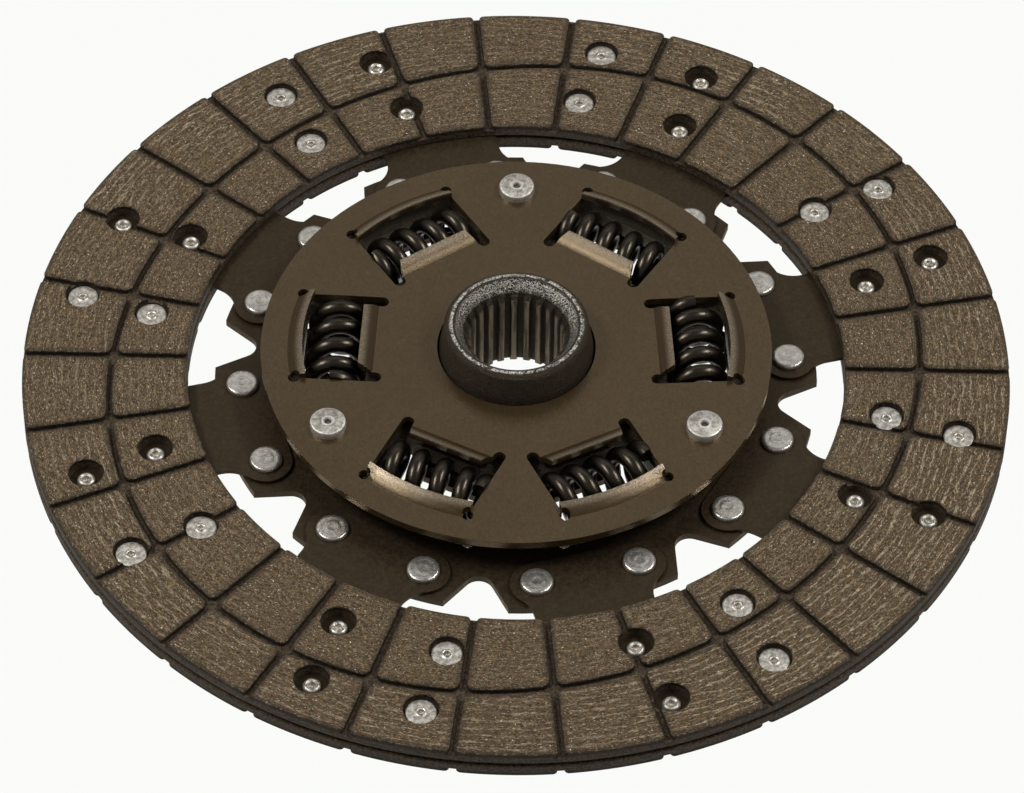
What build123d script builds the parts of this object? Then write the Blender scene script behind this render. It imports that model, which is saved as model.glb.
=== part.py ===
from build123d import *
import math
import os

# Clutch disc with a torsion damper, in millimetres.
# +Z points from the flywheel side to the gearbox side, along the hub.
# The origin is on the hub's axis, midway between the two friction faces.

# Damper springs, on the circle that the windows and the plates are laid out from
spring_circle_radius = 43.9
spring_outer_radius = 7.5
spring_wire = 4.0
spring_end_clearance = 0.05
spring_turns = 4.65
spring_closed_turns = 0.75
spring_start_angle = 85.0
spring_steps_per_turn = 8
spring_wire_sides = 6

# Windows for the damper springs, with a bent lip along both long sides
window_pair_half_angle = 33.4
window_half_angle = 18.25
window_relief_radius = 1.4
window_relief_along = 0.8
lip_inner_offset = 9.7
lip_outer_offset = 11.6
lip_reach = 3.6
lip_rise = 2.0
lip_knee_reach = 1.3
lip_knee_rise = 1.1
lip_slot = 2.95
lip_end_taper = 1.4
slot_overrun = 0.8

# Carrier plate on the flywheel side, and retainer plate on the gearbox side
plate_thickness = 2.0
plate_gap = 8.3
retainer_rim = 6.5
carrier_rim = 11.4
carrier_notch_depth = 12.1
carrier_notch_half_angle = 33.7
carrier_notch_fillet = 3.6

# Stop pins that join the two plates
pin_count = 3
pin_start_angle = 90.5
pin_edge_distance = 10.0
pin_radius = 4.4
pin_neck_radius = 3.2
pin_head_height = 2.1

# Cushion segments
segment_count = 8
segment_thickness = 1.0
segment_start_angle = -74.4
foot_radius = 6.4
foot_fillet = 7.0
neck_overhang = 1.87
neck_turn = -0.9
neck_fillet = 3.0
paddle_turn = 11.3
paddle_spread = 38.0
paddle_inset = 3.0
paddle_overlap = 1.8

# Rivets that hold the segments to the carrier plate
segment_rivet_edge_distance = 6.7
segment_rivet_half_angle = 10.83
segment_rivet_head_radius = 3.95
segment_rivet_head_height = 1.2

# Friction facings
facing_gap = 6.6
facing_width = 40.0
facing_thickness = 3.5
groove_count = 30
groove_start_angle = -0.45
groove_width = 1.5
groove_depth = 1.6
oval_groove_width = 1.3
oval_ovality = 4.1
oval_angle = 57.0

# Rivets of the facings, in two rows, at both sides of each paddle's centre line
facing_rivet_head_radius = 3.9
facing_rivet_head_thickness = 0.8
facing_rivet_floor = 1.3
facing_rivet_inner_edge = 9.9
facing_rivet_outer_edge = 12.0
facing_rivet_side = 13.4
pocket_radius = 4.2

# Hub
hub_front_radius = 18.7
hub_nose_radius = 17.4
hub_rear_radius = 17.0
hub_front_height = 8.2
hub_rear_height = 5.9
hub_rim_fillet = 1.6
hub_rear_chamfer = 0.8
flange_edge_distance = 5.0
flange_thickness = 4.5
flange_window_clearance = 0.4
flange_window_fillet = 1.5
stop_angle = 8.0
stop_clearance = 0.35
spline_teeth = 24
spline_start_angle = 10.7
spline_major_radius = 12.6
spline_minor_radius = 11.35
spline_space_mouth = 1.8
spline_space_root = 1.25
spline_mouth_radius = 15.0
spline_mouth_depth = 3.4
spline_tail_chamfer = 0.65

# Washers between the flange and the plates
washer_edge_distance = 1.2
wave_washer_thickness = 0.6
wave_washer_gap = 3.3
collar_thickness = 3.4
running_clearance = 0.05
plate_hole_clearance = 0.5

# Radii worked out from the springs outwards
lip_inner_base = spring_circle_radius - lip_inner_offset
lip_outer_base = spring_circle_radius + lip_outer_offset
retainer_radius = lip_outer_base + retainer_rim
pin_circle_radius = retainer_radius - pin_edge_distance
flange_radius = retainer_radius - flange_edge_distance
carrier_radius = retainer_radius + carrier_rim
carrier_notch_apex_radius = carrier_radius - carrier_notch_depth
segment_rivet_circle_radius = carrier_radius - segment_rivet_edge_distance
facing_inner_radius = carrier_radius + facing_gap
facing_outer_radius = facing_inner_radius + facing_width
facing_mid_radius = (facing_inner_radius + facing_outer_radius) / 2
facing_rivet_radii = (
    facing_inner_radius + facing_rivet_inner_edge,
    facing_outer_radius - facing_rivet_outer_edge,
)
washer_outer_radius = lip_inner_base - washer_edge_distance
wave_washer_inner_radius = hub_front_radius + wave_washer_gap

# Levels and lengths worked out from the sizes above
facing_front_back = segment_thickness / 2
facing_front_face = facing_front_back + facing_thickness
carrier_front = -segment_thickness / 2
carrier_rear = carrier_front - plate_thickness
retainer_rear = carrier_front + plate_gap
retainer_front = retainer_rear + plate_thickness
damper_mid = (carrier_front + retainer_rear) / 2
flange_rear = damper_mid - flange_thickness / 2
flange_front = damper_mid + flange_thickness / 2
hub_front_face = retainer_front + hub_front_height
hub_rear_face = carrier_rear - hub_rear_height
front_washer_thickness = retainer_rear - flange_front - wave_washer_thickness
window_length = 2 * spring_circle_radius * math.sin(math.radians(window_half_angle))
spring_length = window_length - 2 * spring_end_clearance

segment_angles = [segment_start_angle + i * 360 / segment_count for i in range(segment_count)]
pin_angles = [pin_start_angle + i * 360 / pin_count for i in range(pin_count)]
window_angles = [a + side * window_pair_half_angle for a in pin_angles for side in (-1, 1)]

os.makedirs("parts", exist_ok=True)


def turned(angle):
    """A place on the hub's axis, turned about it."""
    return Location((0, 0, 0), (0, 0, angle))


def polar_point(radius, angle):
    """A point in the disc's plane."""
    return (radius * math.cos(math.radians(angle)), radius * math.sin(math.radians(angle)))


def finish(block, name):
    """Names a finished piece and writes it."""
    block.part.label = name
    export_step(block.part, f"parts/{name}.step")


def on_paddles(side):
    """The rivet places on one side of every paddle's centre line."""
    places = []
    for angle in segment_angles:
        for radius in facing_rivet_radii:
            place = Location((radius, side * facing_rivet_side, 0))
            places.append(turned(angle + paddle_turn) * place)
    return places


def on_circle(radius, angles):
    """Places at one radius, each facing outwards."""
    return [turned(angle) * Location((radius, 0, 0)) for angle in angles]


# Friction facings: a ring cut into blocks by straight grooves and one oval groove,
# with a pocket for each rivet head and a clear hole over each rivet that is set from the other side
def facing(back_level, face_level, head_side):
    outward = 1 if face_level > back_level else -1
    with BuildPart() as ring:
        with BuildSketch(Plane.XY.offset(back_level)):
            Circle(facing_outer_radius)
            Circle(facing_inner_radius, mode=Mode.SUBTRACT)
        extrude(amount=outward * facing_thickness)
        with BuildSketch(Plane.XY.offset(face_level)):
            with Locations(turned(oval_angle)):
                Ellipse(
                    facing_mid_radius + oval_ovality + oval_groove_width / 2,
                    facing_mid_radius - oval_ovality + oval_groove_width / 2,
                )
                Ellipse(
                    facing_mid_radius + oval_ovality - oval_groove_width / 2,
                    facing_mid_radius - oval_ovality - oval_groove_width / 2,
                    mode=Mode.SUBTRACT,
                )
            with PolarLocations(facing_mid_radius, groove_count, start_angle=groove_start_angle):
                Rectangle(facing_width + groove_width, groove_width)
        extrude(amount=-outward * groove_depth, mode=Mode.SUBTRACT)
        with BuildSketch(Plane.XY.offset(face_level)):
            with Locations(*on_paddles(head_side)):
                Circle(pocket_radius)
        extrude(amount=-outward * (facing_thickness - facing_rivet_floor), mode=Mode.SUBTRACT)
        with BuildSketch(Plane.XY.offset(face_level)):
            with Locations(*on_paddles(-head_side)):
                Circle(pocket_radius)
        extrude(amount=-outward * facing_thickness, mode=Mode.SUBTRACT)
    return ring


facing_front = facing(facing_front_back, facing_front_face, 1)
finish(facing_front, "facing_front")
facing_rear = facing(-facing_front_back, -facing_front_face, -1)
finish(facing_rear, "facing_rear")


# Facing rivets: low flat heads that sit on the floors of the pockets
def facing_rivets(outward, head_side):
    seat = outward * (facing_front_back + facing_rivet_floor)
    with BuildPart() as rivets:
        with BuildSketch(Plane.XY.offset(seat)):
            with Locations(*on_paddles(head_side)):
                Circle(facing_rivet_head_radius)
        extrude(amount=outward * facing_rivet_head_thickness)
    return rivets


facing_rivets_front = facing_rivets(1, 1)
finish(facing_rivets_front, "facing_rivets_front")
facing_rivets_rear = facing_rivets(-1, -1)
finish(facing_rivets_rear, "facing_rivets_rear")


# Cushion segments: a foot rounded about its two rivets, a neck, and a paddle between the facings
# that is turned to one side of the foot
foot_half_width = segment_rivet_circle_radius * math.sin(math.radians(segment_rivet_half_angle))
foot_level = segment_rivet_circle_radius * math.cos(math.radians(segment_rivet_half_angle))
neck_half_width = foot_half_width + neck_overhang
paddle_inner_radius = facing_inner_radius + paddle_overlap
paddle_outer_radius = facing_outer_radius - paddle_inset

with BuildSketch() as segment_outline:
    with BuildSketch(mode=Mode.PRIVATE) as paddle:
        Circle(paddle_outer_radius)
        Circle(paddle_inner_radius, mode=Mode.SUBTRACT)
        with BuildLine():
            reach = paddle_outer_radius / math.cos(math.radians(paddle_spread / 2))
            Polyline(
                (0, 0),
                polar_point(reach, -paddle_spread / 2),
                polar_point(reach, paddle_spread / 2),
                close=True,
            )
        make_face(mode=Mode.INTERSECT)
    with Locations(turned(paddle_turn)):
        add(paddle.sketch)
    with Locations(turned(neck_turn)):
        with Locations(((foot_level + paddle_inner_radius) / 2, 0)):
            Rectangle(paddle_inner_radius - foot_level + paddle_overlap, 2 * neck_half_width)
    inner_corners = segment_outline.vertices().filter_by(
        lambda v: abs(math.hypot(v.X, v.Y) - paddle_inner_radius) < paddle_overlap / 2
        and abs(v.Y) < neck_half_width + neck_fillet
    )
    fillet(inner_corners, neck_fillet)
    with Locations((foot_level, foot_half_width), (foot_level, -foot_half_width)):
        Circle(foot_radius)
    with Locations((foot_level, 0)):
        Rectangle(2 * foot_radius, 2 * foot_half_width)
    foot_corners = segment_outline.vertices().filter_by(
        lambda v: foot_level < v.X < paddle_inner_radius - neck_fillet
        and abs(abs(v.Y) - neck_half_width) < foot_radius / 2
    )
    fillet(foot_corners, foot_fillet)

for number, angle in enumerate(segment_angles, start=1):
    with BuildPart() as cushion_segment:
        with BuildSketch(Plane.XY.offset(-segment_thickness / 2)):
            with Locations(turned(angle)):
                add(segment_outline.sketch)
        extrude(amount=segment_thickness)
    finish(cushion_segment, f"cushion_segment_{number}")

# Segment rivets: plain round heads on top of the feet
with BuildPart() as segment_rivets:
    with BuildSketch(Plane.XY.offset(segment_thickness / 2)):
        for side in (-1, 1):
            rivet_angles = [a + side * segment_rivet_half_angle for a in segment_angles]
            with Locations(*on_circle(segment_rivet_circle_radius, rivet_angles)):
                Circle(segment_rivet_head_radius)
    extrude(amount=segment_rivet_head_height)
finish(segment_rivets, "segment_rivets")


# The window that both plates share, in its own place along +X: straight ends, a slot past each end
# of the inner lip, and a round relief at each end of the outer lip
window_half = window_length / 2
relief_level = math.sqrt(lip_outer_base**2 - window_half**2) - window_relief_along

with BuildSketch() as window_outline:
    Circle(lip_outer_base)
    with Locations((lip_inner_base + lip_outer_base / 2, 0)):
        Rectangle(lip_outer_base, window_length, mode=Mode.INTERSECT)
    for side in (-1, 1):
        with Locations((lip_inner_base, side * (window_half - lip_slot / 2))):
            SlotOverall(2 * slot_overrun + lip_slot, lip_slot)
        with Locations((relief_level, side * window_half)):
            Circle(window_relief_radius)

# The two lips of a window, bent up from the plate's top face at height zero
with BuildPart() as window_lips:
    with BuildSketch(Plane.XZ.offset(-window_half)):
        with BuildLine():
            Polyline(
                (lip_inner_base, -plate_thickness),
                (lip_inner_base + lip_knee_reach, lip_knee_rise - plate_thickness),
                (lip_inner_base + lip_reach, lip_rise - plate_thickness),
                (lip_inner_base + lip_reach, lip_rise),
                (lip_inner_base + lip_knee_reach, lip_knee_rise),
                (lip_inner_base, 0),
                close=True,
            )
        make_face()
    extrude(amount=window_length)
    with BuildSketch(Plane.XY.offset(-plate_thickness)):
        for side in (-1, 1):
            with BuildLine():
                root = side * (window_half - lip_slot)
                Polyline(
                    (lip_inner_base, root),
                    (lip_inner_base + lip_reach, root - side * lip_end_taper),
                    (lip_inner_base + lip_reach, side * window_length),
                    (lip_inner_base, side * window_length),
                    close=True,
                )
            make_face()
    extrude(amount=plate_thickness + lip_rise, mode=Mode.SUBTRACT)
    with BuildPart(mode=Mode.PRIVATE) as outer_lip:
        with BuildSketch(Plane.XZ):
            with BuildLine():
                Polyline(
                    (lip_outer_base, -plate_thickness),
                    (lip_outer_base - lip_knee_reach, lip_knee_rise - plate_thickness),
                    (lip_outer_base - lip_reach, lip_rise - plate_thickness),
                    (lip_outer_base - lip_reach, lip_rise),
                    (lip_outer_base - lip_knee_reach, lip_knee_rise),
                    (lip_outer_base, 0),
                    close=True,
                )
            make_face()
        revolve(axis=Axis.Z)
        with Locations((lip_outer_base, 0, 0)):
            Box(lip_outer_base, window_length, 4 * plate_thickness, mode=Mode.INTERSECT)
        with Locations((relief_level, window_half, 0), (relief_level, -window_half, 0)):
            Cylinder(window_relief_radius, 4 * plate_thickness, mode=Mode.SUBTRACT)
    add(outer_lip.part)


# Carrier plate: eight tabs with V notches between them, six windows with lips bent towards the flywheel
with BuildPart() as carrier_plate:
    with BuildSketch(Plane.XY.offset(carrier_rear)):
        Circle(carrier_radius)
        with BuildSketch(mode=Mode.PRIVATE) as notch:
            with BuildLine():
                depth = carrier_radius - carrier_notch_apex_radius + carrier_notch_fillet
                spread = depth * math.tan(math.radians(carrier_notch_half_angle))
                mouth = carrier_notch_apex_radius + depth
                Polyline((carrier_notch_apex_radius, 0), (mouth, spread), (mouth, -spread), close=True)
            make_face()
            fillet(notch.vertices().sort_by(Axis.X)[0], carrier_notch_fillet)
        with Locations(*[turned(a + 180 / segment_count) for a in segment_angles]):
            add(notch.sketch, mode=Mode.SUBTRACT)
        with Locations(*on_circle(0, window_angles)):
            add(window_outline.sketch, mode=Mode.SUBTRACT)
        Circle(hub_rear_radius + running_clearance + collar_thickness, mode=Mode.SUBTRACT)
        with Locations(*on_circle(pin_circle_radius, pin_angles)):
            Circle(pin_neck_radius, mode=Mode.SUBTRACT)
    extrude(amount=plate_thickness)
    lower_lips = mirror(window_lips.part, about=Plane.XY, mode=Mode.PRIVATE)
    with Locations(*[Location((0, 0, carrier_rear)) * turned(a) for a in window_angles]):
        add(lower_lips)
finish(carrier_plate, "carrier_plate")

# Retainer plate: a round plate with the same windows, their lips bent towards the gearbox
with BuildPart() as retainer_plate:
    with BuildSketch(Plane.XY.offset(retainer_rear)):
        Circle(retainer_radius)
        with Locations(*on_circle(0, window_angles)):
            add(window_outline.sketch, mode=Mode.SUBTRACT)
        Circle(hub_front_radius + plate_hole_clearance, mode=Mode.SUBTRACT)
        with Locations(*on_circle(pin_circle_radius, pin_angles)):
            Circle(pin_neck_radius, mode=Mode.SUBTRACT)
    extrude(amount=plate_thickness)
    with Locations(*[Location((0, 0, retainer_front)) * turned(a) for a in window_angles]):
        add(window_lips.part)
finish(retainer_plate, "retainer_plate")

# Stop pins: shouldered rivets that hold the plates apart and end the hub's travel
with BuildPart() as stop_pins:
    with BuildSketch(Plane.XZ) as pin_section:
        with BuildLine():
            Polyline(
                (0, carrier_rear - pin_head_height),
                (pin_radius, carrier_rear - pin_head_height),
                (pin_radius, carrier_rear),
                (pin_neck_radius, carrier_rear),
                (pin_neck_radius, carrier_front),
                (pin_radius, carrier_front),
                (pin_radius, retainer_rear),
                (pin_neck_radius, retainer_rear),
                (pin_neck_radius, retainer_front),
                (pin_radius, retainer_front),
                (pin_radius, retainer_front + pin_head_height),
                (0, retainer_front + pin_head_height),
                close=True,
            )
        make_face()
    pin = revolve(axis=Axis.Z, mode=Mode.PRIVATE)
    with Locations(*on_circle(pin_circle_radius, pin_angles)):
        add(pin)
finish(stop_pins, "stop_pins")


# Damper springs: closed and ground ends, each lying across its window
def coil_advance(turn):
    """How far the wire's centre has moved along the spring after so many turns."""
    travel = spring_length - spring_wire / 2
    closed_travel = spring_closed_turns * spring_wire
    open_turns = spring_turns - 2 * spring_closed_turns
    if turn < spring_closed_turns:
        return turn * spring_wire
    if turn > spring_turns - spring_closed_turns:
        return travel - (spring_turns - turn) * spring_wire
    return closed_travel + (turn - spring_closed_turns) / open_turns * (travel - 2 * closed_travel)


coil_mean_radius = spring_outer_radius - spring_wire / 2
coil_steps = round(spring_turns * spring_steps_per_turn)
coil_points = []
for step in range(coil_steps + 1):
    turn = spring_turns * step / coil_steps
    around = math.radians(spring_start_angle) + 2 * math.pi * turn
    coil_points.append(
        (
            coil_mean_radius * math.cos(around),
            coil_advance(spring_turns) / 2 - coil_advance(turn),
            coil_mean_radius * math.sin(around),
        )
    )

with BuildPart() as coil:
    with BuildLine() as coil_path:
        Polyline(*coil_points)
    with BuildSketch(Plane(origin=coil_path.line @ 0, z_dir=coil_path.line % 0)):
        RegularPolygon(spring_wire / 2, spring_wire_sides)
    sweep(path=coil_path.line, transition=Transition.RIGHT)
    Box(3 * spring_outer_radius, spring_length, 3 * spring_outer_radius, mode=Mode.INTERSECT)

for number, angle in enumerate(sorted(a % 360 for a in window_angles), start=1):
    with BuildPart() as damper_spring:
        with Locations(turned(angle) * Location((spring_circle_radius, 0, damper_mid))):
            add(coil.part)
    finish(damper_spring, f"damper_spring_{number}")

# Hub: a splined barrel and a flange in one piece, with a window for each spring
# and an open notch for each stop pin
stop_sweep = pin_circle_radius * math.sin(math.radians(stop_angle))
notch_half_width = stop_sweep + pin_radius + stop_clearance
notch_floor = pin_circle_radius - pin_radius - 2 * stop_clearance
flange_window_height = 2 * (spring_outer_radius + flange_window_clearance)
mouth_cone_depth = spline_mouth_depth * spline_mouth_radius / (spline_mouth_radius - spline_major_radius)
tail_cone_radius = spline_minor_radius + spline_tail_chamfer

with BuildPart() as hub:
    with BuildSketch(Plane.XZ) as hub_section:
        with BuildLine():
            Polyline(
                (0, hub_rear_face),
                (hub_rear_radius - hub_rear_chamfer, hub_rear_face),
                (hub_rear_radius, hub_rear_face + hub_rear_chamfer),
                (hub_rear_radius, flange_rear),
                (flange_radius, flange_rear),
                (flange_radius, flange_front),
                (hub_front_radius, flange_front),
                (hub_front_radius, retainer_front),
                (hub_nose_radius, hub_front_face),
                (0, hub_front_face),
                close=True,
            )
        make_face()
        rim_corner = hub_section.vertices().group_by(Axis.Y)[-1].sort_by(Axis.X)[-1]
        fillet(rim_corner, hub_rim_fillet)
    revolve(axis=Axis.Z)
    with BuildSketch(Plane.XY.offset(flange_rear)) as flange_openings:
        with Locations(*on_circle(spring_circle_radius, window_angles)):
            Rectangle(flange_window_height, window_length)
        fillet(flange_openings.vertices(), flange_window_fillet)
        with Locations(*on_circle(flange_radius, pin_angles)):
            Rectangle(2 * (flange_radius - notch_floor), 2 * notch_half_width)
    extrude(amount=flange_thickness, mode=Mode.SUBTRACT)
    with BuildSketch(Plane.XY.offset(hub_rear_face)):
        Circle(spline_minor_radius)
        with BuildSketch(mode=Mode.PRIVATE) as spline_space:
            with BuildLine():
                Polyline(
                    (0, spline_space_mouth / 2),
                    (spline_minor_radius, spline_space_mouth / 2),
                    (spline_major_radius, spline_space_root / 2),
                    (spline_major_radius, -spline_space_root / 2),
                    (spline_minor_radius, -spline_space_mouth / 2),
                    (0, -spline_space_mouth / 2),
                    close=True,
                )
            make_face()
        with PolarLocations(0, spline_teeth, start_angle=spline_start_angle):
            add(spline_space.sketch)
    extrude(amount=hub_front_face - hub_rear_face, mode=Mode.SUBTRACT)
    with BuildSketch(Plane.XZ):
        with BuildLine():
            Polyline(
                (0, hub_front_face),
                (spline_mouth_radius, hub_front_face),
                (0, hub_front_face - mouth_cone_depth),
                close=True,
            )
        make_face()
        with BuildLine():
            Polyline(
                (0, hub_rear_face),
                (tail_cone_radius, hub_rear_face),
                (0, hub_rear_face + tail_cone_radius),
                close=True,
            )
        make_face()
    revolve(axis=Axis.Z, mode=Mode.SUBTRACT)
finish(hub, "hub")

# Rear friction washer, with a collar that fills the carrier plate's hole and centres the hub
with BuildPart() as friction_washer_rear:
    with BuildSketch(Plane.XY.offset(carrier_front)):
        Circle(washer_outer_radius)
        Circle(hub_rear_radius + running_clearance, mode=Mode.SUBTRACT)
    extrude(amount=flange_rear - carrier_front)
    with BuildSketch(Plane.XY.offset(carrier_rear)):
        Circle(hub_rear_radius + running_clearance + collar_thickness)
        Circle(hub_rear_radius + running_clearance, mode=Mode.SUBTRACT)
    extrude(amount=plate_thickness)
finish(friction_washer_rear, "friction_washer_rear")

# Front friction washer, and the spring washer that presses it on the flange
with BuildPart() as friction_washer_front:
    with BuildSketch(Plane.XY.offset(flange_front)):
        Circle(washer_outer_radius)
        Circle(hub_front_radius + plate_hole_clearance, mode=Mode.SUBTRACT)
    extrude(amount=front_washer_thickness)
finish(friction_washer_front, "friction_washer_front")

with BuildPart() as spring_washer:
    with BuildSketch(Plane.XY.offset(retainer_rear)):
        Circle(washer_outer_radius)
        Circle(wave_washer_inner_radius, mode=Mode.SUBTRACT)
    extrude(amount=-wave_washer_thickness)
finish(spring_washer, "spring_washer")
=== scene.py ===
import bpy
import bmesh
import math
from mathutils import Matrix, Vector


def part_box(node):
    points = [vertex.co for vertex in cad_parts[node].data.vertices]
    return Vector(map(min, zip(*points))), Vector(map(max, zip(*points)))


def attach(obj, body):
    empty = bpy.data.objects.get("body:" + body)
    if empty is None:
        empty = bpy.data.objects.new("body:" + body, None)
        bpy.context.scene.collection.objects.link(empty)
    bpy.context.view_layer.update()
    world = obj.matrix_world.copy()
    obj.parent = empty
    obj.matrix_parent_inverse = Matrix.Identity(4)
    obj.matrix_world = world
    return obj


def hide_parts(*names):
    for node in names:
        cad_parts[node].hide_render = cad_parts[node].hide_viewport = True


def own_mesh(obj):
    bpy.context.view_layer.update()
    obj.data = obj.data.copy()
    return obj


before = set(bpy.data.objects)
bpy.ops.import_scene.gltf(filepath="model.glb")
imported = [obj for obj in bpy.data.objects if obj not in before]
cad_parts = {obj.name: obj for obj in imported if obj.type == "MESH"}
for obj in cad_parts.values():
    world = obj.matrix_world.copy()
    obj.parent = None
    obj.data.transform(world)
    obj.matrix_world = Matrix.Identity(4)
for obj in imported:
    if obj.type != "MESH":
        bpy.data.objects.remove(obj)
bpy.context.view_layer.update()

MM = 0.001

# Sizes in millimetres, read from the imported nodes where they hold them
front_low, front_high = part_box("facing_front")
retainer_low, retainer_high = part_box("retainer_plate")
feet_low, feet_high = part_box("cushion_segment_1")
pins_low, pins_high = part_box("stop_pins")

facing_outer = front_high.x / MM
facing_inner = facing_outer * 2 / 3
facing_back = front_low.z / MM
facing_face = front_high.z / MM
groove_count = 30
groove_start = -0.45
groove_half = 0.75
groove_floor = facing_face - 1.6
oval_mean = (facing_inner + facing_outer) / 2
oval_ovality = 4.1
oval_angle = 57.0
oval_half = 0.65
crossing_corner = 2.3
rim_corner = 1.3
block_edge = 0.55

segment_count = 8
segment_start = -74.4
paddle_turn = 11.3
facing_rivet_stations = (89.9, 108.0)
facing_rivet_side = 13.4
pocket_radius = 4.2
pocket_floor = facing_back + 1.3
pocket_chamfer = 0.35
# Angle about the axis of the side where the yarn lines get painted sheen
yarn_sheen_angle = -42.0

segment_rivet_circle = 66.7
segment_rivet_half_angle = 10.83

pin_angles = (90.5, 210.5, 330.5)
pin_circle = 52.0
punch_radius = 1.15
window_half_angle = 33.4

spring_circle = 43.9
spring_outer = 7.5
spring_wire = 4.0
spring_length = 27.396
spring_turns = 4.65
spring_closed_turns = 0.75
spring_start = 85.0
spring_level = 3.65

hub_face = 18.0
mouth_radius = 15.0
mouth_depth = 3.4

segment_angles = [segment_start + i * 360 / segment_count for i in range(segment_count)]
window_angles = sorted((a + s * window_half_angle) % 360 for a in pin_angles for s in (-1, 1))


# Shader maths written as sums
class Wire:
    """A shader value that can stand in a sum."""

    def __init__(self, finish, socket):
        self.finish = finish
        self.socket = socket

    def sum(self, operation, first, second):
        return self.finish.node("ShaderNodeMath", {"operation": operation}, {0: first, 1: second})

    def __add__(self, other):
        return self.sum("ADD", self, other)

    def __radd__(self, other):
        return self.sum("ADD", other, self)

    def __sub__(self, other):
        return self.sum("SUBTRACT", self, other)

    def __rsub__(self, other):
        return self.sum("SUBTRACT", other, self)

    def __mul__(self, other):
        return self.sum("MULTIPLY", self, other)

    def __rmul__(self, other):
        return self.sum("MULTIPLY", other, self)

    def __truediv__(self, other):
        return self.sum("DIVIDE", self, other)

    def __rtruediv__(self, other):
        return self.sum("DIVIDE", other, self)

    def __pow__(self, other):
        return self.sum("POWER", self, other)


class Finish:
    """A material while its nodes are being put together."""

    def __init__(self, name):
        self.material = bpy.data.materials.new(name)
        self.material.use_nodes = True
        self.tree = self.material.node_tree
        self.tree.nodes.clear()
        self.output = self.tree.nodes.new("ShaderNodeOutputMaterial")
        self.shader = self.tree.nodes.new("ShaderNodeBsdfPrincipled")
        self.tree.links.new(self.shader.outputs["BSDF"], self.output.inputs["Surface"])

    def feed(self, socket, value):
        if isinstance(value, Wire):
            self.tree.links.new(value.socket, socket)
        elif isinstance(value, tuple) and len(value) == 3 and socket.type == "RGBA":
            socket.default_value = (*value, 1)
        else:
            socket.default_value = value

    def node(self, kind, settings=None, inputs=None, give=0):
        made = self.tree.nodes.new(kind)
        for key, value in (settings or {}).items():
            if key == "stops":
                self.set_stops(made.color_ramp, value)
            else:
                setattr(made, key, value)
        for key, value in (inputs or {}).items():
            self.feed(made.inputs[key], value)
        return Wire(self, made.outputs[give])

    def set_stops(self, ramp, stops):
        while len(ramp.elements) < len(stops):
            ramp.elements.new(1)
        for element, (position, colour) in zip(ramp.elements, stops):
            element.position = position
            element.color = (*colour, 1)

    def shade(self, **values):
        for key, value in values.items():
            self.feed(self.shader.inputs[key.replace("_", " ")], value)

    def place(self):
        return self.node("ShaderNodeTexCoord", give="Object")

    def parts(self, vector):
        split = self.node("ShaderNodeSeparateXYZ", inputs={0: vector})
        return [Wire(self, output) for output in split.socket.node.outputs]

    def joined(self, x, y, z):
        return self.node("ShaderNodeCombineXYZ", inputs={0: x, 1: y, 2: z})

    def function(self, operation, *values):
        return self.node("ShaderNodeMath", {"operation": operation}, dict(enumerate(values)))

    def step(self, value, low, high):
        """Rises smoothly from 0 at low to 1 at high."""
        return self.node(
            "ShaderNodeMapRange",
            {"interpolation_type": "SMOOTHSTEP"},
            {"Value": value, "From Min": low, "From Max": high},
        )

    def noise(self, vector, scale, detail=3.0, roughness=0.55, distortion=0.0):
        return self.node(
            "ShaderNodeTexNoise",
            inputs={
                "Vector": vector,
                "Scale": scale,
                "Detail": detail,
                "Roughness": roughness,
                "Distortion": distortion,
            },
        )

    def cells(self, vector, scale, feature="F1"):
        return self.node("ShaderNodeTexVoronoi", {"feature": feature}, {"Vector": vector, "Scale": scale})

    def mix(self, factor, first, second, blend="MIX"):
        return self.node(
            "ShaderNodeMix",
            {"data_type": "RGBA", "blend_type": blend, "clamp_factor": True},
            {0: factor, 6: first, 7: second},
            give=2,
        )

    def bump(self, height, distance, strength=1.0):
        return self.node(
            "ShaderNodeBump",
            inputs={"Height": height, "Distance": distance, "Strength": strength},
        )


def millimetres(finish):
    """The surface's place in millimetres, as a vector and as its three parts."""
    place = finish.node(
        "ShaderNodeVectorMath", {"operation": "SCALE"}, {0: finish.place(), "Scale": 1 / MM}
    )
    return (place, *finish.parts(place))


def round_place(finish, x, y):
    """Distance from the axis, angle about it, and length around at the facing's middle."""
    radius = finish.function("SQRT", x * x + y * y)
    angle = finish.function("ARCTAN2", y, x)
    return radius, angle, angle * ((facing_outer + facing_inner) / 2)


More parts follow.
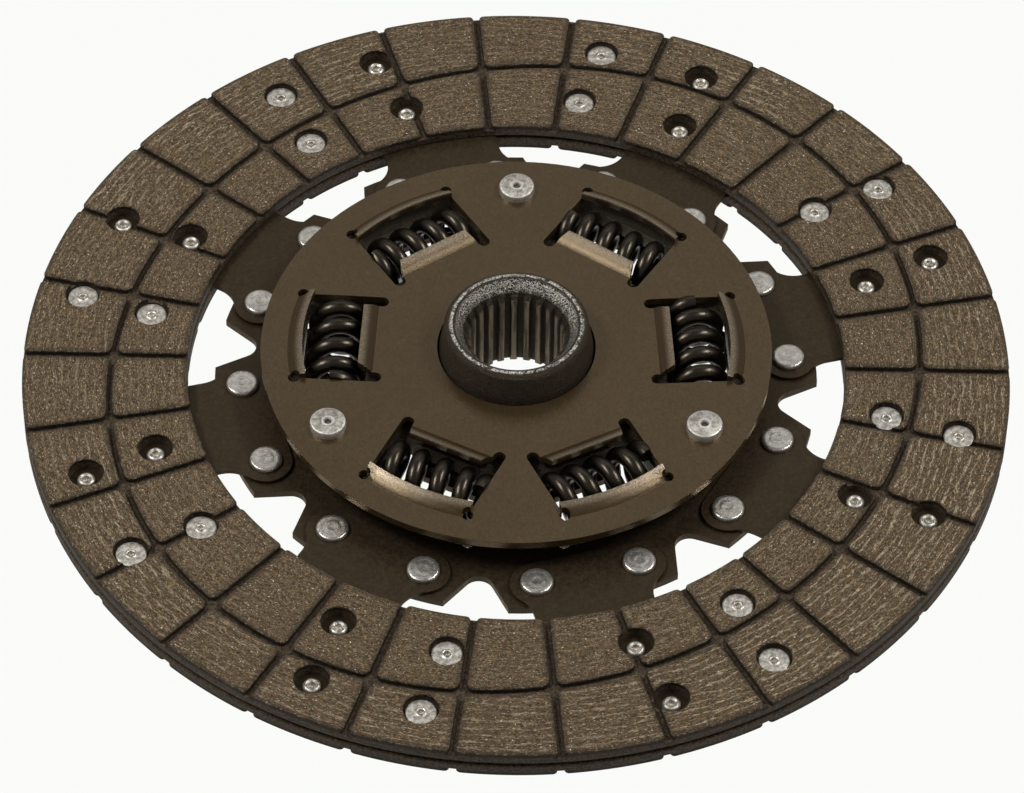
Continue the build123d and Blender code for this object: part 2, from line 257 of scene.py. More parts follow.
# Finishes
def facing_finish():
    """Moulded friction fibre: brown, with pale yarn that runs round the disc."""
    fibre = Finish("friction fibre")
    place, x, y, z = millimetres(fibre)
    radius, angle, around = round_place(fibre, x, y)
    height = fibre.function("ABSOLUTE", z)
    oval = oval_mean + oval_ovality * fibre.function("COSINE", 2 * (angle - math.radians(oval_angle)))
    outer_row = fibre.step(radius - oval, -1.0, 1.0)
    half_pitch = math.pi / groove_count
    from_groove = fibre.function("PINGPONG", angle - math.radians(groove_start), half_pitch) * radius - groove_half
    from_oval = fibre.function("ABSOLUTE", radius - oval) - oval_half
    from_rim = fibre.function("MINIMUM", radius - facing_inner, facing_outer - radius)
    from_edge = fibre.function("MINIMUM", from_groove, fibre.function("MINIMUM", from_oval, from_rim))

    drift = fibre.noise(fibre.joined(around * 0.05, radius * 0.1, z), 1.0, 2.0)
    wobble = fibre.noise(fibre.joined(around * 0.22, radius * 0.5, z), 1.0, 3.0)
    yarn_phase = radius * 3.1 + drift * 14 + wobble * 8.0
    yarn = fibre.function("SINE", yarn_phase) * 0.5 + 0.5
    broken = fibre.noise(fibre.joined(around * 0.3, radius * 1.1, z), 1.0, 3.0, 0.7)
    # Painted sheen: the pale yarn lines are drawn stronger and fuller on one side of the disc, where light catches
    # their ridges; the random patches are real variation in strength.
    yarn_sheen_side = fibre.step(fibre.function("COSINE", angle - math.radians(yarn_sheen_angle)), 0.72, 0.92)
    patch = fibre.step(fibre.noise(fibre.joined(x * 0.02, y * 0.02, z), 1.0, 1.0), 0.42, 0.6)
    yarn_sheen_and_patch = fibre.function("MAXIMUM", yarn_sheen_side, patch * 0.6)
    frayed = fibre.noise(fibre.joined(around * 1.1, radius * 5.0, z), 1.0, 3.0, 0.7)
    yarn_line = fibre.step(yarn + frayed * 0.5 - yarn_sheen_side * 0.09, 0.96, 1.18) * fibre.step(broken + yarn_sheen_side * 0.02, 0.43, 0.56)
    yarn_line = yarn_line * fibre.step(frayed, 0.4, 0.58) * (0.35 + 0.65 * outer_row) * (0.25 + 0.75 * yarn_sheen_and_patch)

    fleck_place = fibre.joined(around * 1.3, radius * 4.5, z)
    fleck = fibre.step(fibre.noise(fleck_place, 1.0, 2.0, 0.6, 0.6), 0.59, 0.66)
    cross_place = fibre.joined(around * 4.0 + radius * 2.0, radius * 1.6 - around * 1.2, z)
    cross_fleck = fibre.step(fibre.noise(cross_place, 1.0, 2.0, 0.6), 0.64, 0.71) * (1 - 0.6 * outer_row)
    glint = fibre.step(fibre.noise(place, 1.5, 1.0), 0.7, 0.76)
    pale = fibre.function("MAXIMUM", yarn_line, fibre.function("MAXIMUM", fleck * 0.75, cross_fleck * 0.85))

    ochre = fibre.step(fibre.noise(fibre.joined(around * 0.8, radius * 2.0, z), 1.0, 4.0, 0.75), 0.5, 0.6)
    rust = fibre.step(fibre.noise(fibre.joined(around * 0.6 + 40, radius * 1.5, z), 1.0, 4.0, 0.75), 0.5, 0.62)
    olive = fibre.step(fibre.noise(fibre.joined(around * 0.7 - 30, radius * 1.4, z), 1.0, 4.0, 0.75), 0.5, 0.62)
    grain = fibre.step(fibre.noise(place, 1.3, 3.0, 0.8), 0.37, 0.63)
    cloud = fibre.noise(place, 0.09, 2.0)
    furrow = fibre.step(fibre.noise(fibre.joined(around * 0.35, radius * 1.8, z), 1.0, 4.0, 0.75), 0.4, 0.6)

    colour = fibre.mix(grain, (0.02, 0.013, 0.007), (0.235, 0.172, 0.108))
    colour = fibre.mix(ochre * 0.72, colour, (0.31, 0.165, 0.04))
    colour = fibre.mix(rust * 0.55, colour, (0.19, 0.078, 0.05))
    colour = fibre.mix(olive * 0.6, colour, (0.115, 0.1, 0.025))
    colour = fibre.mix(cloud * 0.2, colour, (0.1, 0.075, 0.052))
    colour = fibre.mix((1 - furrow) * 0.62, colour, (0.034, 0.024, 0.014))
    colour = fibre.mix(pale, colour, (0.78, 0.64, 0.44))
    colour = fibre.mix(glint, colour, (0.9, 0.82, 0.68))
    # Partly wear and partly painted highlight: pale specks along the blocks' rounded top edges.
    edge_start = fibre.step(height, facing_face - 0.5, facing_face - 0.2)
    rounded_edge_band = edge_start * (1 - fibre.step(height, facing_face - 0.15, facing_face))
    edge_wear_and_highlight = rounded_edge_band * fibre.step(fibre.noise(place, 1.2, 2.0), 0.56, 0.68)
    top_only = fibre.step(height, facing_face - 0.5, facing_face)
    # Painted shade: the block tops darken towards the grooves, the oval and the rims.
    colour = fibre.mix((1 - fibre.step(from_edge, 0.3, 1.6)) * 0.55, colour, (0.045, 0.033, 0.02))
    floor_only = 1 - fibre.step(height, groove_floor + 0.1, groove_floor + 0.5)
    shaded = fibre.mix(grain, (0.01, 0.007, 0.004), (0.045, 0.031, 0.019))
    shaded = fibre.mix(floor_only * 0.7, shaded, fibre.mix(grain, (0.04, 0.028, 0.017), (0.15, 0.108, 0.068)))
    colour = fibre.mix(1 - top_only, colour, shaded)
    colour = fibre.mix(edge_wear_and_highlight * 0.5, colour, (0.4, 0.33, 0.24))
    relief = grain * 0.35 + yarn * 0.22 * (0.3 + 0.7 * outer_row) + furrow * 0.22 + pale * 0.6
    fibre.shade(
        Base_Color=colour,
        Roughness=0.6 - pale * 0.2 + grain * 0.1,
        Specular_IOR_Level=0.22,
        Normal=fibre.bump(relief, 0.35 * MM, 1.0),
    )
    return fibre.material


def plate_finish():
    """Bronze-brown satin coat over pressed steel."""
    coat = Finish("bronze coat")
    place, x, y, z = millimetres(coat)
    grain = coat.step(coat.noise(place, 2.6, 3.0, 0.7), 0.3, 0.7)
    cloud = coat.noise(place, 0.05, 3.0)
    speck = coat.step(coat.noise(place, 3.0, 2.0), 0.7, 0.78)
    scuff = coat.step(coat.noise(place, 0.25, 5.0, 0.75), 0.6, 0.72)
    colour = coat.mix(cloud, (0.066, 0.043, 0.02), (0.09, 0.06, 0.029))
    colour = coat.mix(grain * 0.65, colour, (0.032, 0.021, 0.01))
    colour = coat.mix(scuff * 0.3, colour, (0.13, 0.105, 0.075))
    colour = coat.mix(speck * 0.5, colour, (0.2, 0.165, 0.12))
    # Painted highlight: the upper parts of the lips are lighter, as if catching the lamps.
    painted_lip_highlight = coat.step(z, retainer_high.z / MM - 0.9, retainer_high.z / MM - 0.2)
    colour = coat.mix(painted_lip_highlight * (0.25 + 0.35 * grain), colour, (0.44, 0.36, 0.265))
    coat.shade(
        Base_Color=colour,
        Metallic=0.5,
        Roughness=0.2 + grain * 0.09,
        Specular_IOR_Level=0.6,
        Specular_Tint=(1.0, 0.87, 0.68),
        Normal=coat.bump(grain, 0.02 * MM, 0.5),
    )
    return coat.material


def sheet_finish():
    """Very dark phosphate on the spring-steel sheets."""
    coat = Finish("dark sheet coat")
    place, x, y, z = millimetres(coat)
    crinkle = coat.step(coat.noise(place, 1.1, 4.0, 0.7), 0.3, 0.7)
    grain = coat.noise(place, 2.8, 2.0)
    cloud = coat.noise(place, 0.06, 3.0)
    colour = coat.mix(crinkle, (0.012, 0.0075, 0.0035), (0.042, 0.028, 0.015))
    colour = coat.mix(cloud * 0.4, colour, (0.036, 0.024, 0.013))
    coat.shade(
        Base_Color=coat.mix(grain * 0.3, colour, (0.065, 0.046, 0.028)),
        Metallic=0.35,
        Specular_IOR_Level=0.35,
        Specular_Tint=(1.0, 0.84, 0.62),
        Roughness=0.4 + crinkle * 0.15,
        Normal=coat.bump(crinkle + grain * 0.3, 0.05 * MM, 0.5),
    )
    return coat.material


def spring_finish():
    """Shot-peened wire under gloss black."""
    wire = Finish("black spring wire")
    place, x, y, z = millimetres(wire)
    grain = wire.noise(place, 2.5, 3.0, 0.6)
    blotch = wire.noise(place, 0.5, 3.0, 0.6)
    wire.shade(
        Base_Color=wire.mix(grain, (0.02, 0.016, 0.012), (0.085, 0.07, 0.052)),
        Metallic=0.97,
        Roughness=0.22 + blotch * 0.16,
        Normal=wire.bump(grain, 0.03 * MM, 0.4),
        Coat_Weight=blotch * 0.12,
        Coat_Roughness=0.08,
    )
    return wire.material


def rivet_finish(name, dark, bright, gloss=0.34, punched=False):
    """Zinc on cold-headed steel. The stop pins' punched marks get painted shade inside and a painted highlight on
    their rim.
    """
    zinc = Finish(name)
    place, x, y, z = millimetres(zinc)
    mottle = zinc.step(zinc.noise(place, 0.8, 4.0, 0.7), 0.32, 0.68)
    grain = zinc.noise(place, 3.0, 2.0, 0.6)
    speck = zinc.step(zinc.noise(place, 1.8, 2.0), 0.6, 0.7)
    colour = zinc.mix(mottle, dark, bright)
    colour = zinc.mix(speck * 0.45, colour, (0.13, 0.115, 0.095))
    if punched:
        radius, angle, _ = round_place(zinc, x, y)
        pin_pitch = math.pi / len(pin_angles)
        beside = zinc.function("PINGPONG", angle - math.radians(pin_angles[0]), pin_pitch) * pin_circle
        outward = radius - pin_circle
        from_pin = zinc.function("SQRT", beside * beside + outward * outward)
        # Painted shade inside each punched hollow, and a painted highlight round its rim.
        punch_painted_shade = 1 - zinc.step(from_pin, punch_radius - 0.5, punch_radius - 0.2)
        punch_painted_highlight = zinc.step(from_pin, punch_radius - 0.3, punch_radius) * (1 - zinc.step(from_pin, punch_radius + 0.3, punch_radius + 0.5))
        # Lighter from near the head's outer edge outwards, sides included.
        head_edge_lighter = zinc.step(from_pin, 3.6, 4.1)
        colour = zinc.mix(punch_painted_shade * 0.85, colour, (0.05, 0.044, 0.036))
        colour = zinc.mix(punch_painted_highlight * 0.6, colour, (0.95, 0.93, 0.88))
        colour = zinc.mix(head_edge_lighter * 0.5, colour, (0.85, 0.82, 0.76))
    zinc.shade(
        Base_Color=colour,
        Metallic=0.85,
        Roughness=gloss + grain * 0.2,
        Normal=zinc.bump(grain + mottle, 0.05 * MM, 0.6),
    )
    return zinc.material


def hub_finish():
    """Phosphated forging with rough turned faces."""
    forging = Finish("dark forging")
    place, x, y, z = millimetres(forging)
    radius = forging.function("SQRT", x * x + y * y)
    rough = forging.step(forging.noise(place, 1.3, 5.0, 0.75), 0.3, 0.7)
    grit = forging.noise(place, 3.2, 2.0, 0.7)
    sparkle = forging.step(grit, 0.47, 0.56)
    upper = forging.step(z, hub_face - mouth_depth - 0.6, hub_face - mouth_depth + 0.4)
    cone = upper * (1 - forging.step(radius, mouth_radius - 0.3, mouth_radius + 0.1))
    land = forging.step(radius, mouth_radius + 0.35, mouth_radius + 0.6)
    land = land * (1 - forging.step(radius, mouth_radius + 1.0, mouth_radius + 1.5)) * upper
    bore_shade_mask = 1 - forging.step(radius, 12.7, 13.2)
    teeth = 1 - forging.step(radius, 11.45, 11.9)
    streak = forging.noise(forging.joined(x * 1.2, y * 1.2, z * 0.08), 1.0, 3.0, 0.7)
    colour = forging.mix(rough, (0.014, 0.0095, 0.0055), (0.055, 0.04, 0.025))
    # Painted shade: darker inside the bore, along the flanks of the spline teeth, with streaks.
    colour = forging.mix(bore_shade_mask * 0.8, colour, forging.mix(streak, (0.008, 0.006, 0.004), (0.03, 0.023, 0.015)))
    colour = forging.mix(teeth, colour, forging.mix(forging.step(streak, 0.35, 0.65), (0.04, 0.03, 0.02), (0.32, 0.25, 0.175)))
    broken = forging.step(forging.noise(place, 0.8, 4.0, 0.75), 0.4, 0.56)
    glitter = forging.function("MAXIMUM", sparkle * cone * (1 - bore_shade_mask), land * broken * forging.step(grit, 0.4, 0.5))
    colour = forging.mix(cone * 0.85, colour, (0.01, 0.0075, 0.005))
    colour = forging.mix(sparkle * 0.25, colour, (0.16, 0.14, 0.11))
    forging.shade(
        Base_Color=forging.mix(glitter, colour, forging.mix(cone, (1.0, 0.97, 0.9), (0.95, 0.9, 0.81))),
        Metallic=0.5 + glitter * 0.5,
        Roughness=0.32 + rough * 0.1,
        Specular_Tint=(1.0, 0.87, 0.7),
        Normal=forging.bump(rough * (1 - 0.6 * cone) + grit * (2.0 - 1.5 * cone), 0.25 * MM, 0.8),
    )
    return forging.material


def washer_finish():
    """Black moulded friction washer."""
    resin = Finish("washer resin")
    place, x, y, z = millimetres(resin)
    grain = resin.noise(place, 2.0, 3.0)
    resin.shade(
        Base_Color=resin.mix(grain, (0.012, 0.011, 0.01), (0.03, 0.027, 0.024)),
        Roughness=0.55 + grain * 0.15,
        Normal=resin.bump(grain, 0.04 * MM, 0.4),
    )
    return resin.material


friction_fibre = facing_finish()
bronze_coat = plate_finish()
dark_sheet = sheet_finish()
spring_black = spring_finish()
rivet_zinc = rivet_finish("rivet zinc", (0.3, 0.275, 0.23), (0.78, 0.735, 0.66))
pin_zinc = rivet_finish("stop pin zinc", (0.3, 0.275, 0.23), (0.78, 0.735, 0.66), punched=True)
foot_zinc = rivet_finish("foot rivet zinc", (0.4, 0.375, 0.33), (0.64, 0.61, 0.56), 0.2)
hub_forging = hub_finish()
washer_resin = washer_finish()


# Mesh helpers
def mesh_object(name, corners, faces):
    """A new object from corners in millimetres."""
    mesh = bpy.data.meshes.new(name)
    mesh.from_pydata([Vector(c) * MM for c in corners], [], faces)
    mesh.validate()
    made = bpy.data.objects.new(name, mesh)
    bpy.context.scene.collection.objects.link(made)
    return made


def put_away(thing):
    bpy.data.objects.remove(thing)


def baked(thing):
    """Turns an object's modifiers into its mesh."""
    bpy.context.view_layer.update()
    depsgraph = bpy.context.evaluated_depsgraph_get()
    mesh = bpy.data.meshes.new_from_object(thing.evaluated_get(depsgraph))
    thing.modifiers.clear()
    thing.data = mesh
    return thing


def smooth(thing, degrees=35):
    thing.data.shade_smooth()
    thing.data.set_sharp_from_angle(angle=math.radians(degrees))
    return thing


def painted(thing, material):
    thing.data.materials.clear()
    thing.data.materials.append(material)
    return thing


def fitted(thing, material, body, slot, *nodes):
    """Gives a piece its finish and its body, and hides the nodes that it stands for."""
    painted(thing, material)
    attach(thing, body)
    if nodes:
        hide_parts(*nodes)
    return thing


def lathe(profile, steps, place=Matrix.Identity(4)):
    """Corners and faces of a profile turned about Z. It starts and ends on the axis, or closes on itself."""
    corners = []
    faces = []
    rings = []
    for radius, height in profile:
        if radius == 0:
            rings.append([len(corners)])
            corners.append(place @ Vector((0, 0, height)))
            continue
        rings.append(list(range(len(corners), len(corners) + steps)))
        for i in range(steps):
            around = 2 * math.pi * i / steps
            corners.append(place @ Vector((radius * math.cos(around), radius * math.sin(around), height)))
    pairs = list(zip(rings, rings[1:]))
    if profile[0][0] > 0:
        pairs.append((rings[-1], rings[0]))
    for low, high in pairs:
        for i in range(steps):
            j = (i + 1) % steps
            if len(low) == 1:
                faces.append((low[0], high[j], high[i]))
            elif len(high) == 1:
                faces.append((low[i], low[j], high[0]))
            else:
                faces.append((low[i], low[j], high[j], high[i]))
    return corners, faces


def gathered(meshes):
    """Joins several sets of corners and faces."""
    corners = []
    faces = []
    for more_corners, more_faces in meshes:
        first = len(corners)
        corners.extend(more_corners)
        faces.extend(tuple(first + i for i in face) for face in more_faces)
    return corners, faces


def turned(degrees, radius=0.0, side=0.0, height=0.0):
    """A place at an angle about the axis, facing outwards."""
    return Matrix.Rotation(math.radians(degrees), 4, "Z") @ Matrix.Translation((radius, side, height))


def face_outwards(thing):
    work = bmesh.new()
    work.from_mesh(thing.data)
    bmesh.ops.recalc_face_normals(work, faces=work.faces)
    work.to_mesh(thing.data)
    work.free()
    return thing


# Facings: a base ring, sixty blocks with rounded corners, and the rivet pockets cut out of both
def oval_radius(angle):
    long_half = oval_mean + oval_ovality
    short_half = oval_mean - oval_ovality
    turn = angle - math.radians(oval_angle)
    return long_half * short_half / math.hypot(short_half * math.cos(turn), long_half * math.sin(turn))


def flat_point(radius, angle):
    return Vector((radius * math.cos(angle), radius * math.sin(angle)))


def block_sides(number, near, far):
    """The four sides of a block as functions from 0 to 1, in turn round it."""
    first = math.radians(groove_start + number * 360 / groove_count)
    second = first + 2 * math.pi / groove_count

    def corner(limit, groove, side):
        radius = limit(groove)
        for _ in range(4):
            angle = groove + side * math.asin(groove_half / radius)
            radius = limit(angle)
        return radius, angle

    a = corner(near, first, 1)
    b = corner(far, first, 1)
    c = corner(far, second, -1)
    d = corner(near, second, -1)
    start, out, back, end = (flat_point(*p) for p in (a, b, c, d))

    def along(limit, low, high):
        def at(s):
            angle = low + (high - low) * s
            return flat_point(limit(angle), angle)
        return at

    return [
        lambda s: start.lerp(out, s),
        along(far, b[1], c[1]),
        lambda s: back.lerp(end, s),
        along(near, d[1], a[1]),
    ]


def rounded_loop(sides, radii, side_steps=10, corner_steps=6):
    """The sides joined by round corners. Each radius is that of the corner at its side's end."""
    points = []
    for number, side in enumerate(sides):
        next_side = sides[(number + 1) % len(sides)]
        span = (side(1) - side(0)).length
        start = radii[number - 1] / span
        end = 1 - radii[number] / span
        for i in range(side_steps + 1):
            points.append(side(start + (end - start) * i / side_steps))
        leave = side(end)
        corner = side(1)
        arrive = next_side(radii[number] / (next_side(1) - next_side(0)).length)
        for i in range(1, corner_steps):
            t = i / corner_steps
            points.append(leave * (1 - t) ** 2 + corner * 2 * t * (1 - t) + arrive * t**2)
    return points


def inset(points, distance):
    """The loop moved inwards."""
    moved = []
    count = len(points)
    for i, point in enumerate(points):
        along = points[(i + 1) % count] - points[i - 1]
        along.normalize()
        moved.append(point + Vector((-along.y, along.x)) * distance)
    return moved


def block(number, near, far, radii):
    loop = rounded_loop(block_sides(number, near, far), radii)
    levels = [(0.0, groove_floor - 0.1)]
    for i in range(5):
        turn = math.radians(90 * i / 4)
        levels.append((block_edge * (1 - math.cos(turn)), facing_face - block_edge * (1 - math.sin(turn))))
    corners = []
    for distance, level in levels:
        corners.extend((p.x, p.y, level) for p in (inset(loop, distance) if distance else loop))
    count = len(loop)
    last = len(levels) - 1
    faces = [tuple(range(count)), tuple(reversed(range(last * count, (last + 1) * count)))]
    for ring in range(last):
        for i in range(count):
            j = (i + 1) % count
            low = ring * count
            high = low + count
            faces.append((low + i, high + i, high + j, low + j))
    return corners, faces


def on_paddles(side):
    """The facing rivets' places on one side of every paddle's centre line."""
    return [
        turned(angle + paddle_turn, station, side * facing_rivet_side)
        for angle in segment_angles
        for station in facing_rivet_stations
    ]


def cut(thing, tool):
    knife = thing.modifiers.new("holes", "BOOLEAN")
    knife.operation = "DIFFERENCE"
    knife.solver = "EXACT"
    knife.object = tool
    return baked(thing)


def facing(name, front):
    """One facing, made facing up and then turned over for the rear one."""
    head_side = 1 if front else -1
    side = 1 if front else -1

    def inner_edge(angle):
        return facing_inner

    def oval_near(angle):
        return oval_radius(angle) - oval_half

    def oval_far(angle):
        return oval_radius(angle) + oval_half

    def outer_edge(angle):
        return facing_outer

    inner_radii = (crossing_corner, crossing_corner, rim_corner, rim_corner)
    outer_radii = (rim_corner, rim_corner, crossing_corner, crossing_corner)
    blocks = []
    for number in range(groove_count):
        blocks.append(block(number, inner_edge, oval_near, inner_radii))
        blocks.append(block(number, oval_far, outer_edge, outer_radii))
    block_piece = face_outwards(mesh_object(name + "_blocks", *gathered(blocks)))
    edge = 0.3
    ring_profile = [
        (facing_inner, facing_back + edge),
        (facing_inner + edge, facing_back),
        (facing_outer - edge, facing_back),
        (facing_outer, facing_back + edge),
        (facing_outer, groove_floor),
        (facing_inner, groove_floor),
    ]
    ring_piece = face_outwards(mesh_object(name + "_ring", *lathe(ring_profile, 360)))

    above = facing_face + 1
    tools = []
    for floor, places in ((pocket_floor, on_paddles(head_side)), (facing_back - 1, on_paddles(-head_side))):
        profile = [
            (0, floor),
            (pocket_radius, floor),
            (pocket_radius, facing_face - pocket_chamfer),
            (pocket_radius + pocket_chamfer, facing_face + 0.02),
            (pocket_radius + pocket_chamfer, above),
            (0, above),
        ]
        tools.extend(lathe(profile, 40, place) for place in places)
    tool = face_outwards(mesh_object(name + "_tool", *gathered(tools)))
    for part in (block_piece, ring_piece):
        cut(part, tool)
    put_away(tool)

    joined = bmesh.new()
    joined.from_mesh(block_piece.data)
    joined.from_mesh(ring_piece.data)
    put_away(block_piece)
    put_away(ring_piece)
    if side < 0:
        bmesh.ops.scale(joined, vec=(1, 1, -1), verts=joined.verts)
        bmesh.ops.reverse_faces(joined, faces=joined.faces)
    mesh = bpy.data.meshes.new(name)
    joined.to_mesh(mesh)
    joined.free()
    made = bpy.data.objects.new(name, mesh)
    bpy.context.scene.collection.objects.link(made)
    return smooth(made, 30)


fitted(facing("fibre_facing_front", True), friction_fibre, "disc", "facing", "facing_front")
fitted(facing("fibre_facing_rear", False), friction_fibre, "disc", "facing", "facing_rear")


# Facing rivets: a headed end in its pocket, and a rolled end that shows through the other facing's hole
def facing_rivets(name, front):
    head_side = 1 if front else -1
    side = 1 if front else -1
    seat = pocket_floor
    head = [
        (0, seat + 0.55),
        (0.28, seat + 0.45),
        (0.4, seat + 0.05),
        (0.72, seat + 0.05),
        (0.86, seat + 0.74),
        (1.1, seat + 0.86),
        (1.35, seat + 0.72),
        (1.6, seat + 0.64),
        (1.95, seat + 0.74),
        (3.3, seat + 0.8),
        (3.65, seat + 0.68),
        (3.8, seat + 0.42),
        (3.8, seat),
        (0, seat),
    ]
    tail = [
        (0, facing_back + 0.55),
        (0.32, facing_back + 0.45),
        (0.45, facing_back + 0.03),
        (0.9, facing_back + 0.03),
        (1.08, facing_back + 0.8),
        (1.55, facing_back + 1.15),
        (1.95, facing_back + 0.98),
        (2.2, facing_back + 0.55),
        (2.2, facing_back),
        (0, facing_back),
    ]
    heads = [lathe(head, 32, place) for place in on_paddles(head_side)]
    turn_over = Matrix.Scale(-1, 4, (0, 0, 1))
    tails = [lathe(tail, 24, turn_over @ place) for place in on_paddles(head_side)]
    corners, faces = gathered(heads + tails)
    made = mesh_object(name, [(c[0], c[1], side * c[2]) for c in corners], faces)
    return smooth(face_outwards(made), 40)


fitted(facing_rivets("facing_rivets_front_zinc", True), rivet_zinc, "disc", "rivet_steel", "facing_rivets_front")
fitted(facing_rivets("facing_rivets_rear_zinc", False), rivet_zinc, "disc", "rivet_steel", "facing_rivets_rear")


# Segment rivets: low round heads on the feet
def segment_rivets():
    base = feet_high.z / MM
    head = [
        (0, base + 1.14),
        (0.9, base + 1.14),
        (1.1, base + 1.2),
        (1.7, base + 1.2),
        (1.9, base + 1.15),
        (2.6, base + 1.15),
        (2.8, base + 1.19),
        (3.45, base + 1.15),
        (3.78, base + 1.0),
        (3.95, base + 0.7),
        (3.95, base + 0.12),
        (3.8, base),
        (0, base),
    ]
    places = [
        turned(angle + side * segment_rivet_half_angle, segment_rivet_circle)
        for angle in segment_angles
        for side in (-1, 1)
    ]
    made = mesh_object("foot_rivets", *gathered([lathe(head, 36, place) for place in places]))
    return smooth(face_outwards(made), 40)


fitted(segment_rivets(), foot_zinc, "disc", "rivet_steel", "segment_rivets")


# Stop pins: headed at both ends, shouldered between the plates
def stop_pins():
    top = pins_high.z / MM
    bottom = pins_low.z / MM
    plate_top = top - 2.1
    plate_thickness = 2.0
    carrier_rear = bottom + 2.1
    shoulder_top = plate_top - plate_thickness
    shoulder_bottom = carrier_rear + plate_thickness
    profile = [
        (0, top - 0.95),
        (0.5, top - 0.9),
        (punch_radius - 0.25, top - 0.3),
        (punch_radius, top - 0.02),
        (punch_radius + 0.3, top),
        (punch_radius + 0.65, top - 0.16),
        (3.8, top - 0.14),
        (4.2, top - 0.3),
        (4.4, top - 0.7),
        (4.4, plate_top),
        (3.2, plate_top),
        (3.2, shoulder_top),
        (4.4, shoulder_top),
        (4.4, shoulder_bottom),
        (3.2, shoulder_bottom),
        (3.2, carrier_rear),
        (4.4, carrier_rear),
        (4.4, bottom + 0.6),
        (4.15, bottom + 0.15),
        (3.8, bottom),
        (0, bottom),
    ]
    made = mesh_object("stop_pins_zinc", *gathered([lathe(profile, 40, turned(a, pin_circle)) for a in pin_angles]))
    return smooth(face_outwards(made), 40)


fitted(stop_pins(), pin_zinc, "disc", "rivet_steel", "stop_pins")


# Damper springs: round wire with closed, ground ends
def coil_advance(turn):
    travel = spring_length - spring_wire / 2
    closed_travel = spring_closed_turns * spring_wire
    open_turns = spring_turns - 2 * spring_closed_turns
    if turn < spring_closed_turns:
        return turn * spring_wire
    if turn > spring_turns - spring_closed_turns:
        return travel - (spring_turns - turn) * spring_wire
    return closed_travel + (turn - spring_closed_turns) / open_turns * (travel - 2 * closed_travel)


def eased_advance(turn):
    """The advance with its two bends eased over a short stretch."""
    reach = 0.14
    samples = [coil_advance(min(max(turn + reach * (k - 3) / 3, 0), spring_turns)) for k in range(7)]
    return sum(samples) / len(samples) if reach < turn < spring_turns - reach else coil_advance(turn)


def coil(place):
    steps = 230
    sides = 18
    mean = spring_outer - spring_wire / 2
    half = spring_length / 2
    centres = []
    for i in range(steps + 1):
        turn = spring_turns * i / steps
        around = math.radians(spring_start) + 2 * math.pi * turn
        along = coil_advance(spring_turns) / 2 - eased_advance(turn)
        centres.append(Vector((mean * math.cos(around), along, mean * math.sin(around))))
    corners = []
    faces = []
    for i, centre in enumerate(centres):
        ahead = centres[min(i + 1, steps)] - centres[max(i - 1, 0)]
        ahead.normalize()
        out = Vector((centre.x, 0, centre.z)).normalized()
        across = ahead.cross(out).normalized()
        out = across.cross(ahead).normalized()
        for k in range(sides):
            turn = 2 * math.pi * k / sides
            corner = centre + (out * math.cos(turn) + across * math.sin(turn)) * spring_wire / 2
            corner.y = min(max(corner.y, -half), half)
            corners.append(place @ corner)
    for i in range(steps):
        for k in range(sides):
            m = (k + 1) % sides
            low = i * sides
            high = low + sides
            faces.append((low + k, low + m, high + m, high + k))
    faces.append(tuple(range(sides)))
    faces.append(tuple(reversed(range(steps * sides, (steps + 1) * sides))))
    return corners, faces


for number, angle in enumerate(window_angles, start=1):
    middle = turned(angle, spring_circle, 0, spring_level)
    wound = smooth(face_outwards(mesh_object(f"coil_spring_{number}", *coil(middle))), 50)
    fitted(wound, spring_black, "springs", "spring_wire", f"damper_spring_{number}")
    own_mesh(wound)


# Pressed and turned steel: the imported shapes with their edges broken
def edged(node, name, width, degrees=40):
    """A copy of a node's shape with its sharp edges rounded a little."""
    work = bmesh.new()
    work.from_mesh(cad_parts[node].data)
    bmesh.ops.remove_doubles(work, verts=work.verts, dist=0.0005 * MM)
    bmesh.ops.dissolve_limit(
        work, angle_limit=math.radians(0.6), verts=work.verts, edges=work.edges
    )
    mesh = bpy.data.meshes.new(name)
    work.to_mesh(mesh)
    work.free()
    made = bpy.data.objects.new(name, mesh)
    bpy.context.scene.collection.objects.link(made)
    soft = made.modifiers.new("edges", "BEVEL")
    soft.width = width * MM
    soft.segments = 2
    soft.limit_method = "ANGLE"
    soft.angle_limit = math.radians(degrees)
    soft.use_clamp_overlap = True
    smooth(baked(made), 32)
    flats = made.modifiers.new("flats", "WEIGHTED_NORMAL")
    flats.keep_sharp = True
    flats.weight = 100
    return baked(made)


fitted(edged("retainer_plate", "retainer_pressing", 0.28), bronze_coat, "disc", "plate_steel", "retainer_plate")
fitted(edged("carrier_plate", "carrier_pressing", 0.2), dark_sheet, "disc", "spring_sheet", "carrier_plate")
for number in range(1, segment_count + 1):
    node = f"cushion_segment_{number}"
    fitted(edged(node, f"cushion_sheet_{number}", 0.12), dark_sheet, "disc", "spring_sheet", node)
fitted(edged("hub", "hub_forging", 0.18), hub_forging, "hub", "hub_steel", "hub")
painted(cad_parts["friction_washer_rear"], washer_resin)
painted(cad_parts["friction_washer_front"], washer_resin)
painted(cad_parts["spring_washer"], bronze_coat)


# Floor, far enough below for its shadow to lie outside the picture
floor_drop = 0.6
floor_half = 6.0


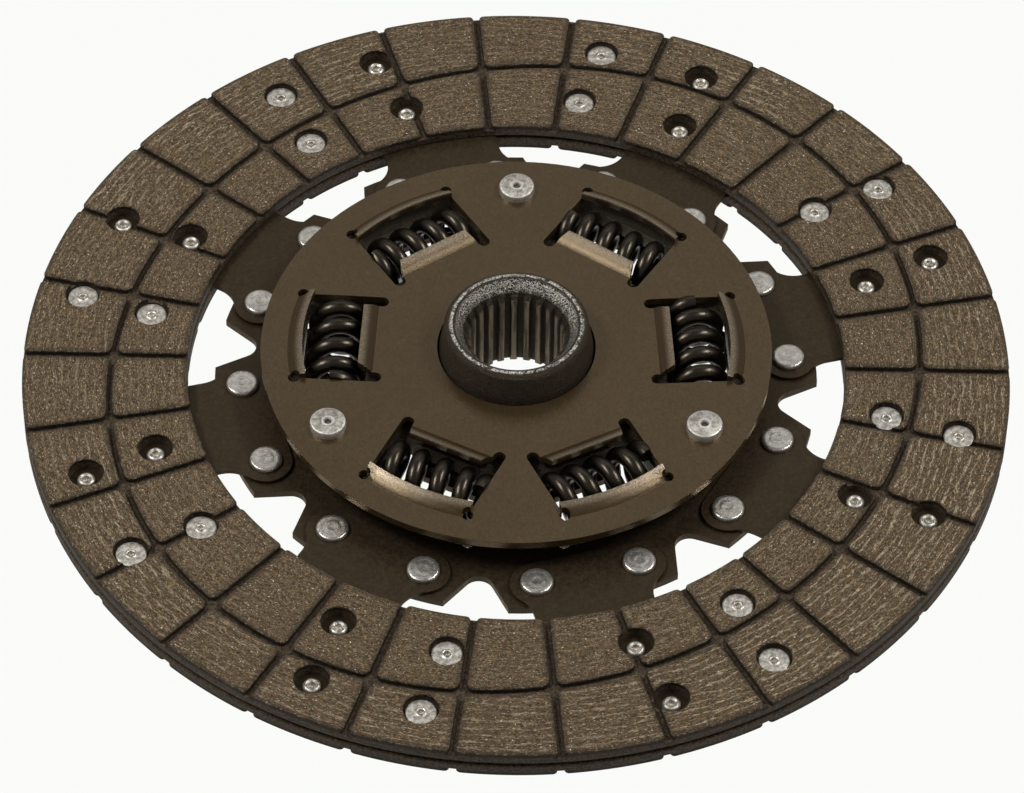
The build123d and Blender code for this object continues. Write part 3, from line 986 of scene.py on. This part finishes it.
def floor_finish():
    pale = Finish("pale floor")
    place = pale.place()
    tone = pale.noise(place, 3.0, 2.0)
    pale.shade(Base_Color=pale.mix(tone, (0.9, 0.9, 0.89), (0.93, 0.93, 0.92)), Roughness=0.9)
    glow = pale.node("ShaderNodeEmission", inputs={"Color": (0.974, 0.982, 0.956), "Strength": 1.0})
    rays = pale.node("ShaderNodeLightPath")
    ways = rays.socket.node.outputs
    seen = pale.function(
        "MAXIMUM",
        Wire(pale, ways["Is Camera Ray"]),
        pale.function("MAXIMUM", Wire(pale, ways["Is Glossy Ray"]), Wire(pale, ways["Is Transmission Ray"])),
    )
    blend = pale.node(
        "ShaderNodeMixShader", inputs={0: seen * 0.96, 1: Wire(pale, pale.shader.outputs[0]), 2: glow}
    )
    pale.tree.links.new(blend.socket, pale.output.inputs["Surface"])
    return pale.material


floor = mesh_object(
    "floor",
    [(x / MM, y / MM, -floor_drop / MM) for x, y in (
        (-floor_half, -floor_half), (floor_half, -floor_half), (floor_half, floor_half), (-floor_half, floor_half)
    )],
    [(0, 1, 2, 3)],
)
painted(floor, floor_finish())

# World: white to the eye, soft light on the object
world = bpy.data.worlds.new("studio")
bpy.context.scene.world = world
world.use_nodes = True
sky = world.node_tree
sky.nodes.clear()
sky_output = sky.nodes.new("ShaderNodeOutputWorld")
sky_glow = sky.nodes.new("ShaderNodeBackground")
sky_light = sky.nodes.new("ShaderNodeBackground")
sky_rays = sky.nodes.new("ShaderNodeLightPath")
sky_blend = sky.nodes.new("ShaderNodeMixShader")
sky_glow.inputs["Color"].default_value = (0.974, 0.982, 0.956, 1)
sky_glow.inputs["Strength"].default_value = 1.0
sky_light.inputs["Color"].default_value = (1, 0.99, 0.97, 1)
sky_light.inputs["Strength"].default_value = 0.24
sky.links.new(sky_rays.outputs["Is Camera Ray"], sky_blend.inputs[0])
sky.links.new(sky_light.outputs[0], sky_blend.inputs[1])
sky.links.new(sky_glow.outputs[0], sky_blend.inputs[2])
sky.links.new(sky_blend.outputs[0], sky_output.inputs["Surface"])


# Lamps
def softbox(name, place, target, width, depth, power, colour=(1, 1, 1)):
    lamp = bpy.data.lights.new(name, "AREA")
    lamp.shape = "RECTANGLE"
    lamp.size = width
    lamp.size_y = depth
    lamp.energy = power
    lamp.color = colour
    holder = bpy.data.objects.new(name, lamp)
    holder.location = place
    holder.rotation_euler = (Vector(target) - Vector(place)).to_track_quat("-Z", "Y").to_euler()
    bpy.context.scene.collection.objects.link(holder)
    return holder


softbox("left_box", (-0.93, -0.05, 1.3), (0, 0, 0), 0.75, 0.3, 12.5)
softbox("right_box", (0.99, 0.06, 1.25), (0, 0, 0), 0.75, 0.3, 11.5)
softbox("back_panel", (0.0, 1.25, 1.4), (0, 0, 0), 1.7, 0.8, 2.9)

# Camera: the photograph's view
picture_width = 1024
sensor_width = 36.0
camera_focal = 5261.40939
camera_elevation = 0.843985081
camera_distance = 10.6664688 * facing_outer * MM
camera_pan = -7.123e-4
camera_tilt = -6.54633e-3
camera_roll = 1.26096e-2

aim = Vector((0, 0, facing_face * MM))
back_off = Vector((0, -math.cos(camera_elevation), math.sin(camera_elevation)))
straight = -back_off
sideways = Vector((1, 0, 0))
upwards = sideways.cross(straight)
looking = (straight + camera_pan * sideways + camera_tilt * upwards).normalized()
level = looking.cross(Vector((0, 0, 1))).normalized()
raised = level.cross(looking)
right = math.cos(camera_roll) * level + math.sin(camera_roll) * raised
top = -math.sin(camera_roll) * level + math.cos(camera_roll) * raised

lens = bpy.data.cameras.new("photo view")
lens.sensor_width = sensor_width
lens.sensor_fit = "HORIZONTAL"
lens.lens = camera_focal / picture_width * sensor_width
lens.clip_start = 0.05
lens.clip_end = 30
camera = bpy.data.objects.new("photo view", lens)
camera.matrix_world = Matrix.Translation(aim + back_off * camera_distance) @ Matrix(
    (right, top, -looking)
).transposed().to_4x4()
bpy.context.scene.collection.objects.link(camera)
bpy.context.scene.camera = camera
bpy.context.scene.view_settings.view_transform = "Standard"
